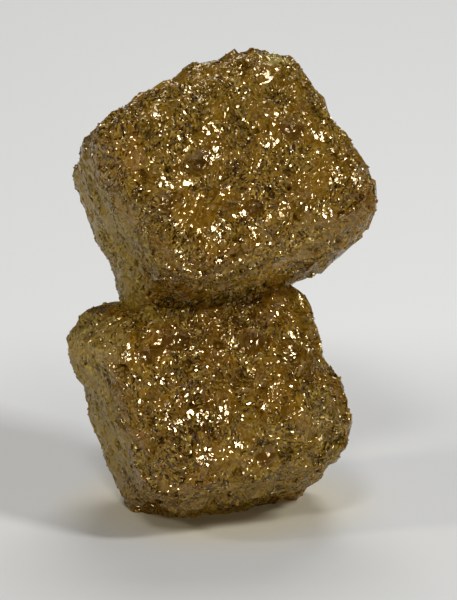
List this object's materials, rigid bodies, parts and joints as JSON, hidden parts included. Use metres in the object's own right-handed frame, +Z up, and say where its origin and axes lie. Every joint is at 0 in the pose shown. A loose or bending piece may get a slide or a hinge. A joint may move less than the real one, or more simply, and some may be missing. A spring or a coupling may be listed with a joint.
{
  "type": "rough diamond crystal",
  "caption": "Rough brown diamond: cube crystals grown into each other, the upper leaning on the lower, rough with small facets and pits, standing on a small flat.",
  "frame": {"origin": "on the resting surface, below the middle of the specimen's box", "axes": "+Z up through both crystals, -Y towards the viewer of the sparkling front faces, +X to that viewer's right"},
  "size_m": [0.0078, 0.0078, 0.0117],
  "materials": {
    "diamond": "honey to olive brown, translucent, adamantine and sparkling on the small facets, frosted on the left faces"
  },
  "bodies": {
    "root": {"diamond_crystal": "diamond"}
  },
  "joints": []
}
